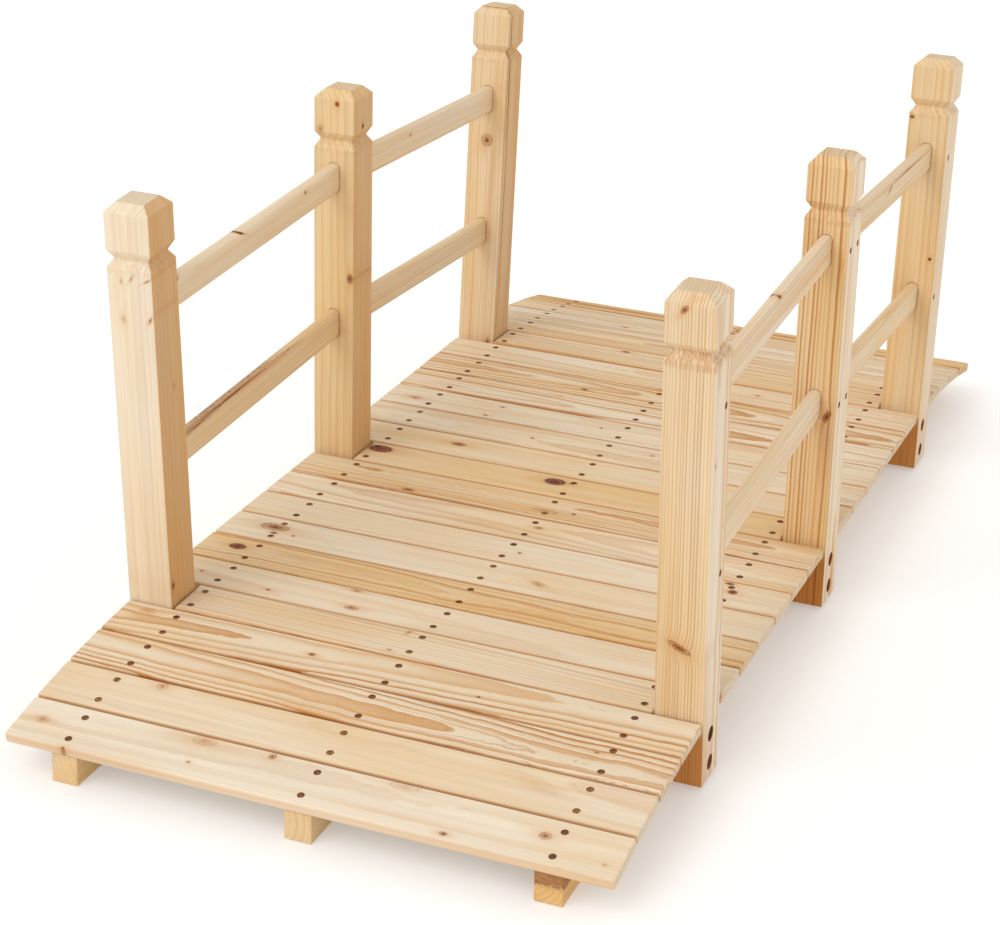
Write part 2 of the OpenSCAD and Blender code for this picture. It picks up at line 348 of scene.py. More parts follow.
def reach(name, axis, centre):
    """How far a node reaches from its centre along an axis, both ways."""
    spread = [(v.co - centre).dot(axis) for v in nodes[name].data.vertices]
    return min(spread), max(spread)


# How soft the edge of the painted shade in a hole is.
HOLE_SHADE_BLUR = 0.4 * MM
PUSH = 0.35           # how far a knot bends the rings, as a part of its half width


def add_knots(m, place, ragged, knots, totals):
    """Chains knots onto the totals of those before them."""
    for u, v, long, wide, turn, dark in knots:
        k = m.add("ShaderNodeGroup", node_tree=knot_group)
        m.put(place, k.inputs["Place"])
        m.put(ragged, k.inputs["Ragged"])
        sizes = {"U": u * MM, "V": v * MM, "Long": long * MM, "Wide": wide * MM,
                 "Turn": math.radians(turn), "Dark": dark, "Push": PUSH * wide * MM}
        for label, value in sizes.items():
            k.inputs[label].default_value = value
        for label, socket in totals.items():
            m.put(socket, k.inputs[label])
        totals = {label: k.outputs[label] for label in ("Shift", "Core", "Rim", "Halo")}
    return totals


def pine(name, values, knots=(), side_knots=(), hole_shades=(), deep=None, side=None, edge=0.0,
         torn=None):
    """A material of the pine group for one node.

    Knots go through the face and side knots through the side. Each hole shade is a place with a
    radius, and the wood within it is painted dark, painted shade in the screw holes and
    counterbores. Below the level deep, the sides take a warm darker tint, mostly the front and
    inner ones: painted shade for the shade under the deck. Edge gives the narrow faces that tint,
    painted shade for the gaps between boards. Side gives pale, warm and deep on the side that the
    across axis leaves by, painted light and shade on that side.
    Torn gives where along the grain the wood is torn, how far each way and how much.
    """
    centre, grain, across, out = axes_of(name)
    material = bpy.data.materials.new("pine_" + name)
    material.use_nodes = True
    m = Graph(material.node_tree)
    m.tree.nodes.clear()
    world_place = m.add("ShaderNodeTexCoord").outputs["Object"]
    normal = m.add("ShaderNodeTexCoord").outputs["Normal"]
    place = m.vector("SUBTRACT", world_place, tuple(centre))
    place = m.join(*(m.vector("DOT_PRODUCT", place, tuple(a)) for a in (grain, across, out)))
    u, v, w = m.split(place)[:3]
    totals = {}
    if knots or side_knots:
        ragged = m.noise(place, 260.0, 2.0, 0.6)
        totals = add_knots(m, place, ragged, knots, totals)
        totals = add_knots(m, m.join(u, w, v), ragged, side_knots, totals)
    p = m.add("ShaderNodeGroup", node_tree=pine_group)
    m.put(place, p.inputs["Place"])
    for label, socket in totals.items():
        m.put(socket, p.inputs[label])
    for label, value in values.items():
        p.inputs[label].default_value = value
    along_grain = m.math("ABSOLUTE", m.vector("DOT_PRODUCT", normal, tuple(grain)))
    m.put(m.ramp(along_grain, 0.75, 0.95), p.inputs["End"])
    # Painted shade in screw holes and counterbores: the wood within each radius is painted dark.
    if hole_shades:
        near = 1.0
        for spot, radius in hole_shades:
            away = m.vector("LENGTH", m.vector("SUBTRACT", world_place, tuple(spot)))
            near = m.math("MINIMUM", near, m.math("SUBTRACT", away, radius))
        m.put(m.ramp(near, -HOLE_SHADE_BLUR, HOLE_SHADE_BLUR, 0.9, 0.0), p.inputs["Hole Shade"])
    facing = m.vector("DOT_PRODUCT", normal, tuple(across))
    # Painted shade on the narrow faces, for the gaps between boards.
    painted_shade = m.math("MULTIPLY", m.ramp(m.math("ABSOLUTE", facing), 0.3, 0.95), edge)
    # Painted shade below the deck's level, on the front and inner sides and a little on the outer
    # side.
    if deep is not None:
        z = m.split(world_place)[2]
        inward = m.math("MULTIPLY", facing, -1.0 if centre.y > 0 else 1.0)
        inward = m.ramp(inward, 0.4, 0.7, 1.0, 0.12)
        low = m.math("MULTIPLY", inward, m.ramp(z, deep - 12 * MM, deep + 8 * MM, 1.0, 0.0))
        painted_shade = m.math("MAXIMUM", painted_shade, low)
    # Painted light and shade on the side that the across axis leaves by.
    if side:
        turned = m.ramp(facing, 0.3, 0.8)
        for label, value in (("Pale", side[0]), ("Warm", side[1])):
            mixed = m.math("MULTIPLY_ADD", turned, value - values[label], values[label])
            m.put(mixed, p.inputs[label])
        painted_shade = m.math("MAXIMUM", painted_shade, m.math("MULTIPLY", turned, side[2]))
    m.put(painted_shade, p.inputs["Painted Shade"])
    if torn:
        where, half, amount = torn
        away = m.math("ABSOLUTE", m.math("SUBTRACT", u, where))
        m.put(m.ramp(away, 0.6 * half, half, amount, 0.0), p.inputs["Torn"])
    bump = m.add("ShaderNodeBump")
    bump.inputs["Strength"].default_value = 0.35
    bump.inputs["Distance"].default_value = 0.4 * MM
    m.put(p.outputs["Height"], bump.inputs["Height"])
    shader = m.add("ShaderNodeBsdfPrincipled")
    shader.inputs["Specular IOR Level"].default_value = 0.2
    m.put(p.outputs["Color"], shader.inputs["Base Color"])
    m.put(p.outputs["Roughness"], shader.inputs["Roughness"])
    m.put(bump.outputs[0], shader.inputs["Normal"])
    m.put(shader.outputs[0], m.add("ShaderNodeOutputMaterial").inputs[0])
    return material


def look(seed, pith_v, pith_w, slope_v, slope_w, ring, wave, contrast, flame, lines, warm, pale,
         grey=0.8):
    """Values for the pine group, with lengths in mm."""
    return {
        "Seed": seed, "Pith V": pith_v * MM, "Pith W": pith_w * MM, "Slope V": slope_v,
        "Slope W": slope_w, "Ring": ring * MM, "Wave": wave * MM, "Contrast": contrast,
        "Flame": flame, "Lines": lines, "Warm": warm, "Pale": pale, "Grey": grey,
    }


# Each board's own look and knots, from the near end. Knots are (along, across, half length, half
# width, turn, dark) in mm and degrees. Along is from the middle of the board towards the left, and
# across is towards the far end.
BOARDS = {
    1: (look(1.3, 14, -46, 0.01, 0.01, 8, 2, 0.20, 0.25, 0.1, 0.05, 1.0),
        [(304, 1, 7, 5, 0, 0.35), (128, 24, 13, 7, 0, 0.3), (52, 24, 4, 4, 0, 0.6),
         (129, -10, 2, 2, 0, 0.5), (-92, 26, 16, 6, 0, 0.2), (-154, -23, 4, 3, 0, 0.65),
         (-248, 6, 6, 5, 0, 0.6), (262, -34, 3, 4, 0, 0.8), (-315, -13, 2, 2, 0, 0.3)]),
    2: (look(2.1, 20, -40, 0.02, -0.02, 7, 2, 0.22, 0.2, 0.15, 0.25, 0.85),
        [(213, 24, 6, 6, 0, 0.35), (-215, 6, 22, 9, 20, 0.06)]),
    3: (look(3.7, -2, -11, 0.025, 0.012, 8.5, 6, 1.25, 0.35, 0.9, 0.1, 0.8),
        [(-250, 10, 3, 2, 0, 0.5)]),
    4: (look(4.4, 14, -14, -0.03, 0.02, 9, 6, 1.15, 0.3, 0.5, 0.15, 0.7),
        [(94, 3, 4, 3, 0, 0.75), (300, 17, 9, 5, 0, 0.3), (-102, -7, 2, 1.5, 0, 0.9)]),
    5: (look(5.9, 60, -30, 0.03, 0.0, 6, 2, 0.45, 0.15, 0.8, 0.15, 0.6),
        [(19, 22, 2, 5, 30, 0.5), (22, -21, 3, 2, 0, 0.5)]),
    6: (look(6.2, -20, -60, 0.01, 0.02, 8, 2, 0.2, 0.2, 0.2, 0.2, 0.8),
        [(203, -14, 3, 2, 0, 0.8), (113, 25, 7, 3, 0, 0.5), (100, -15, 8, 5, 0, 0.55),
         (292, -3, 2, 2, 0, 0.8)]),
    7: (look(7.8, 0, -10, 0.02, 0.015, 6, 6, 1.4, 0.5, 0.7, 0.55, 0.4),
        [(286, 6, 10, 7, 0, 1.0), (210, 8, 24, 5, 0, 0.08)]),
    8: (look(8.5, 12, -40, 0.0, 0.02, 7, 3, 0.3, 0.3, 0.3, 0.15, 0.8),
        [(271, 6, 17, 9, 0, 0.7), (265, -9, 4, 3, 0, 0.85), (241, -7, 2, 2, 0, 0.8),
         (-64, -3, 9, 5, 25, 0.4)]),
    9: (look(9.1, -8, -34, -0.02, 0.02, 7, 3, 0.35, 0.3, 0.3, 0.15, 0.8),
        [(-15, -2, 2, 2, 0, 0.9), (-269, 6, 5, 5, 0, 0.95), (-260, 25, 5, 3, 0, 0.9)]),
    10: (look(10.6, 10, -30, 0.02, -0.02, 7, 3, 0.5, 0.3, 0.3, 0.2, 0.9),
         [(-10, 6, 6, 4, 0, 0.55), (60, -12, 26, 8, 0, 0.05)]),
    11: (look(11.2, 10, -12, 0.01, 0.0, 6, 5, 1.1, 0.4, 0.6, 0.3, 0.6),
         [(175, -24, 8, 4, 0, 0.75), (2, -11, 16, 6, 0, 0.35), (-33, -5, 3, 2, 0, 0.9)]),
    12: (look(12.9, -4, -40, 0.0, 0.02, 8, 3, 0.3, 0.3, 0.2, 0.6, 0.5),
         [(258, 12, 15, 10, 0, 1.0), (276, 22, 4, 3, 0, 0.8), (22, 11, 13, 9, 0, 1.0),
          (2, 14, 4, 3, 0, 0.6)]),
    13: (look(13.4, 8, -36, 0.02, 0.0, 7, 3, 0.3, 0.3, 0.3, 0.3, 0.7), [(175, 4, 9, 5, 0, 0.8)]),
    14: (look(14.8, -12, -48, 0.02, -0.02, 7, 4, 0.35, 0.4, 0.4, 0.12, 0.8),
         [(98, -2, 2, 2, 0, 0.9), (-60, 10, 3, 2, 0, 0.6)]),
    15: (look(15.5, 16, -40, -0.01, 0.01, 8, 2, 0.3, 0.25, 0.3, 0.1, 0.8),
         [(290, -6, 10, 6, 0, 0.4), (172, 13, 3, 2, 0, 0.8), (182, -22, 3, 2, 0, 0.8),
          (30, 2, 2, 2, 0, 0.8)]),
    16: (look(16.3, -10, -10, 0.01, 0.03, 7, 4, 1.0, 0.3, 0.4, 0.1, 0.9),
         [(120, 18, 6, 3, 0, 0.2)]),
    17: (look(17.6, 0, -18, 0.01, 0.03, 7, 4, 0.9, 0.4, 0.4, 0.3, 0.7), [(97, -11, 4, 3, 0, 0.9)]),
    18: (look(18.1, 14, -30, 0.02, 0.0, 7, 3, 0.6, 0.3, 0.4, 0.25, 0.8), [(-120, 4, 4, 3, 0, 0.5)]),
    19: (look(19.9, -30, -20, 0.0, 0.01, 6, 3, 0.7, 0.3, 0.5, 0.4, 0.6), [(96, 20, 6, 3, 0, 0.9)]),
    20: (look(20.7, 6, -22, 0.02, -0.02, 7, 3, 0.7, 0.3, 0.5, 0.25, 0.8),
         [(-40, -8, 3, 2, 0, 0.6)]),
    21: (look(21.3, -6, -34, 0.0, 0.0, 7, 3, 0.5, 0.3, 0.4, 0.15, 1.0), [(140, 10, 5, 3, 0, 0.6)]),
    22: (look(22.2, 10, -20, 0.02, 0.02, 7, 4, 0.8, 0.4, 0.5, 0.3, 0.8),
         [(-220, 0, 18, 3, 0, 0.3)]),
    23: (look(23.8, 0, -28, 0.0, 0.01, 5, 3, 1.9, 0.3, 0.8, 1.0, 0.0), [(60, -6, 5, 3, 0, 0.7)]),
}
# Each post's look, knots through the near face and knots through the sides. Along is up from the
# middle of the post, and across is towards the right on the near face.
POSTS = {
    "post_near_left": (look(31.2, 80, 70, 0.0, 0.004, 7, 2, 0.14, 0.2, 0.1, 0.12, 1.0),
                       [(192, 2, 4, 1.4, 35, 0.4), (192, 21, 4, 1.2, 60, 0.55),
                        (148, 22, 4, 1.8, 30, 0.55), (145, -10, 4, 3, 0, 0.25),
                        (188, -10, 3, 1.5, 0, 0.35)],
                       [(-170, 22, 5, 3, 0, 0.7), (60, -6, 4, 2, 0, 0.3)]),
    "post_middle_left": (look(32.4, 60, -50, 0.004, 0.0, 6, 2, 0.35, 0.2, 0.4, 0.6, 0.5),
                         [(258, 4, 3, 3, 0, 0.9), (225, -18, 5, 4, 0, 0.4),
                          (40, 22, 6, 4, 0, 0.75)],
                         [(228, 2, 3, 3, 0, 0.9)]),
    "post_far_left": (look(33.7, -80, 10, 0.0, 0.004, 4.5, 2, 0.4, 0.2, 0.5, 0.35, 0.6),
                      [(88, 2, 8, 8, 30, 0.55), (-200, 18, 6, 4, 0, 0.55), (40, 12, 60, 4, 2, 0.1)],
                      [(180, 17, 88, 1.3, 1, 1.0), (-40, 15, 150, 0.8, -1, 0.9)]),
    "post_near_right": (look(34.1, -90, 12, 0.004, 0.003, 3.4, 1, 0.8, 0.15, 0.3, 0.35, 0.6),
                        [(257, -6, 5, 3, 35, 0.7), (-112, -2, 4, 13, 25, 0.7)],
                        [(92, 16, 3, 2, 0, 0.5)]),
    "post_middle_right": (look(35.8, 84, -8, 0.003, 0.0, 4.8, 1, 1.8, 0.2, 0.3, 0.6, 0.5),
                          [(-33, 16, 8, 4, 20, 0.8), (-75, 15, 40, 6, 0, 0.15),
                           (150, 20, 9, 2, 0, 0.2)], []),
    "post_far_right": (look(36.5, 70, -60, 0.0, 0.003, 4.5, 2, 0.4, 0.2, 0.3, 0.5, 0.5),
                       [(196, -22, 2, 3, 0, 0.9), (12, 19, 2, 2.2, 0, 1.0)], []),
}
# Painted light and shade on the side of each post that faces -Y: how pale, warm and deep it is
# there. The right posts' outer sides are paler, a painted light, and the left posts' inner sides
# warmer and deeper, a painted shade.
SIDE_LIGHT_AND_SHADE = {
    "post_near_left": (0.4, 0.55, 0.45), "post_near_right": (1.0, 0.0, 0.0),
    "post_middle_left": (0.3, 0.55, 0.3), "post_middle_right": (1.0, 0.0, 0.0),
    "post_far_left": (0.3, 0.5, 0.25), "post_far_right": (0.9, 0.1, 0.0),
}
# How torn the grain is at each post's groove.
TORN = {"post_near_left": 0.35, "post_middle_left": 0.35, "post_far_left": 0.35,
        "post_near_right": 1.0, "post_middle_right": 0.6, "post_far_right": 0.35}
# Each rail's look and knots. Along is towards the far end, and across is up.
RAILS = {
    "rail_upper_near_left": (look(41.3, 30, -50, 0.01, 0.0, 5, 2, 0.2, 0.2, 0.1, 0.35, 1.0),
                             [(-36, 16.5, 6, 1.4, -25, 1.0), (-186, 12, 7, 1.8, 35, 1.0),
                              (124, 12, 2, 2, 0, 0.9)]),
    "rail_lower_near_left": (look(42.8, -24, -30, 0.01, 0.0, 5, 2, 0.25, 0.2, 0.2, 0.5, 0.9),
                             [(-60, 17.2, 150, 1.5, 0, 0.6), (-150, 15.5, 60, 2.2, 1, 0.45),
                              (20, 16, 90, 2.5, 0, 0.2)]),
    "rail_upper_far_left": (look(43.1, 14, -40, 0.0, 0.01, 5, 2, 0.35, 0.2, 0.4, 0.25, 0.7),
                            [(-60, 8, 3, 2, 0, 0.6)]),
    "rail_lower_far_left": (look(44.6, -34, -20, 0.01, 0.0, 5, 2, 0.35, 0.2, 0.4, 0.25, 0.7), []),
    "rail_upper_near_right": (look(45.9, 26, -60, 0.01, 0.0, 5, 2, 0.3, 0.2, 0.4, 0.15, 0.8),
                              [(20, 17.2, 4, 1.3, 0, 0.9)]),
    "rail_lower_near_right": (look(46.4, -20, 40, 0.0, 0.0, 4.5, 2, 0.35, 0.2, 0.5, 0.2, 0.7), []),
    "rail_upper_far_right": (look(47.2, 40, 50, 0.01, 0.0, 5, 2, 0.35, 0.2, 0.4, 0.3, 0.6),
                             [(0, 8, 9, 1.6, 20, 0.9), (90, 13, 70, 1.5, 0, 0.5)]),
    "rail_lower_far_right": (look(48.5, -26, 30, 0.01, 0.0, 5, 2, 0.35, 0.2, 0.4, 0.3, 0.6), []),
}
# Each stringer's look and knots, placed as the rails' are.
STRINGERS = {
    "stringer_left": (look(61.4, 10, -60, 0.01, 0.0, 6, 2, 0.3, 0.3, 0.3, 0.75, 0.3, 0.25),
                      [(300, 8, 7, 5, 0, 0.5)]),
    "stringer_middle": (look(62.9, -14, 50, 0.0, 0.01, 6, 2, 0.35, 0.3, 0.3, 0.65, 0.4, 0.25), []),
    "stringer_right": (look(63.3, 6, 22, 0.01, 0.0, 5, 3, 0.8, 0.4, 0.5, 0.95, 0.2, 0.1),
                       [(-716, -4, 26, 12, 12, 0.85)]),
}


# --------------------------------------------------------------- fixings and cuts
def mesh_object(name, bm, material=None, ride=True):
    """An object of what bm holds, which it frees."""
    mesh = bpy.data.meshes.new(name)
    bmesh.ops.recalc_face_normals(bm, faces=bm.faces)
    bm.to_mesh(mesh)
    bm.free()
    obj = bpy.data.objects.new(name, mesh)
    bpy.context.scene.collection.objects.link(obj)
    if material:
        mesh.materials.append(material)
    if ride:
        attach(obj, "root")
    return obj


def lathe(bm, profile, at, steps=32):
    """A closed solid of revolution. The profile runs (radius, height) from axis to axis, in mm."""
    rings = []
    for radius, height in profile:
        if radius == 0:
            ring = [Vector((0, 0, height))]
        else:
            angles = (2 * math.pi * k / steps for k in range(steps))
            ring = [Vector((radius * math.cos(t), radius * math.sin(t), height)) for t in angles]
        rings.append([bm.verts.new(at @ (co * MM)) for co in ring])
    for a, b in zip(rings, rings[1:]):
        for k in range(steps):
            n = (k + 1) % steps
            quad = [a[k % len(a)], a[n % len(a)], b[n % len(b)], b[k % len(b)]]
            quad = [v for j, v in enumerate(quad) if v not in quad[:j]]
            if len(quad) > 2:
                bm.faces.new(quad)


def prism(bm, outline, low, high, at):
    """A closed prism over a flat outline, in mm."""
    bottom, top = ([bm.verts.new(at @ (Vector((x, y, z)) * MM)) for x, y in outline]
                   for z in (low, high))
    bm.faces.new(bottom[::-1])
    bm.faces.new(top)
    for k in range(len(outline)):
        n = (k + 1) % len(outline)
        bm.faces.new((bottom[k], bottom[n], top[n], top[k]))


def cut_by(obj, cutter, name):
    """Cuts one object's shape out of another, by a modifier."""
    cut = obj.modifiers.new(name, "BOOLEAN")
    cut.operation = "DIFFERENCE"
    cut.solver = "EXACT"
    cut.object = cutter


def cut_mesh(body_bm, tool_bm):
    """The mesh of one solid less another."""
    body = mesh_object("body_blank", body_bm, ride=False)
    tool = mesh_object("tool_blank", tool_bm, ride=False)
    cut_by(body, tool, "cut")
    bpy.context.view_layer.update()
    evaluated = body.evaluated_get(bpy.context.evaluated_depsgraph_get())
    made = bpy.data.meshes.new_from_object(evaluated)
    for obj in (body, tool):
        bpy.data.objects.remove(obj)
    return made


def metal(name, base, rough, spot):
    """Plated steel with a mottled, dulled surface and brown dirt in it."""
    material = bpy.data.materials.new(name)
    material.use_nodes = True
    m = Graph(material.node_tree)
    shader = next(n for n in m.tree.nodes if n.type == "BSDF_PRINCIPLED")
    place = m.add("ShaderNodeTexCoord").outputs["Object"]
    mottle = m.noise(place, 420.0, 3.0, 0.6)
    scratch = m.noise(m.vector("MULTIPLY", place, (1600.0, 1600.0, 300.0)), 1.0, 2.0, 0.6)
    color = m.mix(m.ramp(mottle, 0.38, 0.66), base, spot)
    shader.inputs["Metallic"].default_value = 0.75
    m.put(color, shader.inputs["Base Color"])
    m.put(m.math("MULTIPLY_ADD", scratch, 0.3, rough), shader.inputs["Roughness"])
    bump = m.add("ShaderNodeBump")
    bump.inputs["Strength"].default_value = 0.25
    bump.inputs["Distance"].default_value = 0.2 * MM
    m.put(scratch, bump.inputs["Height"])
    m.put(bump.outputs[0], shader.inputs["Normal"])
    return material


yellow_zinc = metal("yellow_zinc", rgb(214, 176, 84), 0.34, rgb(120, 70, 28))
grey_zinc = metal("grey_zinc", rgb(176, 126, 84), 0.34, rgb(86, 42, 22))

# Sizes of the fixings, all in mm.
HEAD = 3.4            # radius of a screw's head
SUNK = 0.7            # how deep a screw's head lies below the wood
HEAD_TALL = 3.2
RECESS = 2.2          # depth of the cross recess
ARM, SLOT = 2.3, 0.75  # half length and half width of the recess's arms
SCREW_HOLE_SHADE = 4.0          # radius of the painted shade in a screw's hole; it reaches a little past the rim
WASHER, WASHER_TALL = 8.0, 1.6
HEXAGON = 7.5         # radius over the corners of the bolts' heads and nuts
BOLT_HEAD_TALL, NUT_TALL = 5.3, 6.5
SHANK, SHANK_TALL = 3.9, 11.0  # the bolt's end that stands out of the nut
COUNTERBORE = 11.0
BORE_SHADE = 9.7     # radius of the painted shade in a counterbore
PROUD = 1.0           # how far the screws' cutters reach out of the wood
CHAMFER = 0.5
ASKEW, UNEVEN_DEEP = 0.05, 0.25  # how far a screw may be off square, and off its depth
CRACK_WANDER, CRACK_PROUD, CRACK_TIP = 0.42, 2.0, 0.06

# A countersunk screw head with a cross recess, its top at the origin.
head = bmesh.new()
lathe(head, [(0, 0), (HEAD - CHAMFER, 0), (HEAD, -0.35), (HEAD - 0.1, -0.7), (1.9, -HEAD_TALL),
             (0, -HEAD_TALL)], Matrix.Identity(4))
recess = bmesh.new()
prism(recess, [(ARM, -SLOT), (ARM, SLOT), (SLOT, SLOT), (SLOT, ARM), (-SLOT, ARM), (-SLOT, SLOT),
               (-ARM, SLOT), (-ARM, -SLOT), (-SLOT, -SLOT), (-SLOT, -ARM), (SLOT, -ARM),
               (SLOT, -SLOT)], -RECESS, PROUD, Matrix.Identity(4))
screw_mesh = cut_mesh(head, recess)


def frame_at(place, out, turn=0.0):
    """A transform whose Z is the outward direction, at a place."""
    facing = out.to_track_quat("Z", "Y").to_matrix().to_4x4()
    return Matrix.Translation(place) @ facing @ Matrix.Rotation(turn, 4, "Z")


def cutter_for(name, bm):
    """Cuts what bm holds out of a CAD node."""
    cutter = mesh_object("cutter_" + name, bm)
    cutter.hide_render = True
    cutter.display_type = "WIRE"
    cut_by(nodes[name], cutter, "cuts")


def sink(bm, at):
    """The hole that a countersunk screw is driven into."""
    bottom = -SUNK - 0.3
    lathe(bm, [(0, PROUD), (HEAD + 0.7, PROUD), (HEAD + 0.2, -0.1), (HEAD + 0.1, bottom),
               (0, bottom)], at, 28)


def pin(group_name, places, out, material, holes):
    """Screws at places on a face, each a little askew, and their holes."""
    bm = bmesh.new()
    for place in places:
        tilt = Vector([rng.uniform(-ASKEW, ASKEW) for _ in range(3)])
        deep = (SUNK + rng.uniform(-UNEVEN_DEEP, UNEVEN_DEEP)) * MM
        turn = rng.uniform(0, math.pi)
        copy = screw_mesh.copy()
        copy.transform(frame_at(place - out * deep, (out + tilt).normalized(), turn))
        bm.from_mesh(copy)
        bpy.data.meshes.remove(copy)
        sink(holes, frame_at(place, out))
    mesh_object(group_name, bm, material)


def crack(bm, start, along, sideways, into, length, width, depth, steps):
    """A drying crack: a thin, ragged wedge that tapers to nothing at both ends. Sizes in mm."""
    rings = []
    drift = 0.0
    for k in range(steps + 1):
        t = k / steps
        drift += rng.uniform(-CRACK_WANDER, CRACK_WANDER)
        taper = math.sin(math.pi * min(max(t, 0.02), 0.98)) ** 0.6
        half = width * taper * rng.uniform(0.75, 1.15) / 2
        deep = depth * math.sin(math.pi * min(max(t, 0.04), 0.96)) ** 0.5
        middle = start + (along * (length * t) + sideways * drift) * MM
        corners = ((-half, -CRACK_PROUD), (half, -CRACK_PROUD), (CRACK_TIP, deep),
                   (-CRACK_TIP, deep))
        rings.append([bm.verts.new(middle + (sideways * x + into * y) * MM) for x, y in corners])
    for a, b in zip(rings, rings[1:]):
        for k in range(4):
            n = (k + 1) % 4
            bm.faces.new((a[k], a[n], b[n], b[k]))
    bm.faces.new(rings[0][::-1])
    bm.faces.new(rings[-1])


def bolt_end(bm, at, tall, shank):
    """A washer with a hexagonal head or nut on it, and the bolt's end where it stands out."""
    top = WASHER_TALL + tall
    lathe(bm, [(0, 0), (WASHER - 0.2, 0), (WASHER, 0.2), (WASHER, WASHER_TALL - 0.2),
               (WASHER - 0.2, WASHER_TALL), (0, WASHER_TALL)], at)
    corners = [(HEXAGON * math.cos(math.pi * k / 3), HEXAGON * math.sin(math.pi * k / 3))
               for k in range(6)]
    prism(bm, corners, WASHER_TALL, top - CHAMFER, at)
    lathe(bm, [(0, top - CHAMFER), (6.4, top - CHAMFER), (5.6, top), (0, top)], at)
    if shank:
        lathe(bm, [(0, 0), (SHANK, 0), (SHANK, SHANK_TALL - 0.8), (SHANK - 0.7, SHANK_TALL),
                   (0, SHANK_TALL)], at, 20)


# --------------------------------------------------------------- dress the nodes
FLAT = math.radians(0.4)     # faces this nearly in line are made one
SHARP = math.radians(35)     # edges sharper than this are eased


def ease(obj, width, segments):
    """Takes the sharpness off a node's edges. The width is in mm."""
    weld = obj.modifiers.new("joined_faces", "WELD")
    weld.merge_threshold = 1e-6
    merge = obj.modifiers.new("flat_faces", "DECIMATE")
    merge.decimate_type = "DISSOLVE"
    merge.angle_limit = FLAT
    bevel = obj.modifiers.new("eased_edges", "BEVEL")
    bevel.width = width * MM
    bevel.segments = segments
    bevel.limit_method = "ANGLE"
    bevel.angle_limit = SHARP
    bevel.use_clamp_overlap = False


def paint(name, material):
    nodes[name].data.materials.clear()
    nodes[name].data.materials.append(material)


lateral = sum(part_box("stringer_left")[k].y for k in (0, 1)) / 2
SPREAD = 17.3 * MM    # from a board's middle line to its screws
UNEVEN = 1.2 * MM     # how far a screw may be off its line
NEAR_BOARD_GAP_SHADE, BOARD_GAP_SHADE = 0.35, 0.65  # how red the boards' narrow faces are, a painted shade for the gaps between boards; less on the near board
BOARD_ROUND, POST_ROUND, STRINGER_ROUND = (2.5, 5), (0.8, 2), (1.6, 3)  # mm, and segments
CRACKED_BOARD, CRACKED_POST = 8, "post_far_left"
rng = random.Random(7)
for number, (values, knots) in BOARDS.items():
    name = f"board_{number:02d}"
    centre, grain, across, out = axes_of(name)
    top = centre + out * reach(name, out, centre)[1]
    places = [top + grain * (u + rng.uniform(-UNEVEN, UNEVEN))
              + across * (v + rng.uniform(-UNEVEN, UNEVEN))
              for u in (-lateral, 0.0, lateral) for v in (-SPREAD, SPREAD)]
    # Painted shade in each screw's hole.
    hole_shades = [(place, SCREW_HOLE_SHADE * MM) for place in places]
    # The narrow faces take painted shade, less on the near board.
    edge = NEAR_BOARD_GAP_SHADE if number == 1 else BOARD_GAP_SHADE
    paint(name, pine(name, values, knots, hole_shades=hole_shades, edge=edge))
    ease(nodes[name], *BOARD_ROUND)
    holes = bmesh.new()
    pin(f"screws_{name}", places, out, yellow_zinc if number % 3 == 2 else grey_zinc, holes)
    if number == CRACKED_BOARD:
        crack(holes, top + (grain * 202 - across * 5) * MM, (-grain - across * 0.55).normalized(),
              across, -out, length=32, width=0.9, depth=4, steps=14)
    cutter_for(name, holes)


MIDDLE_INSET, END_INSET = 15 * MM, 12 * MM


def rail_screws(post):
    """Places on a post's outer face, each over the middle of a rail's end."""
    centre, grain = axes_of(post)[:2]
    station, flank = post.split("_")[1:]
    places = []
    for rail in (n for n in nodes if n.startswith("rail") and n.endswith(flank)):
        half = rail.split("_")[2]
        if station not in (half, "middle"):
            continue
        middle, run = axes_of(rail)[:2]
        # The middle posts hold two rails' ends, each to its own side of the post's axis. The end
        # posts' screws are set towards the middle of the bridge.
        inset = MIDDLE_INSET if station == "middle" else -END_INSET
        inset = -inset if half == "near" else inset
        z = middle.z
        for _ in range(3):
            x = centre.x + grain.x / grain.z * (z - centre.z) + inset
            z = middle.z + (x - middle.x) * run.z / run.x
        places.append(Vector((x, outer_face(post), z)))
    return places


def outer_face(post):
    """Y of a post's outer face."""
    low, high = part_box(post)
    return max(low.y, high.y, key=abs)


TOUCH = 1e-5
BETWEEN_BOLTS = 40 * MM


def bolt_centres(post, floor_y):
    """Centres of the two counterbores' floors, from the vertices that lie in them."""
    rims = {}
    for vert in nodes[post].data.vertices:
        if abs(vert.co.y - floor_y) < TOUCH:
            rims.setdefault(vert.co.z > BETWEEN_BOLTS, []).append(vert.co)
    for points in rims.values():
        xs, zs = [p.x for p in points], [p.z for p in points]
        yield Vector(((min(xs) + max(xs)) / 2, floor_y, (min(zs) + max(zs)) / 2))


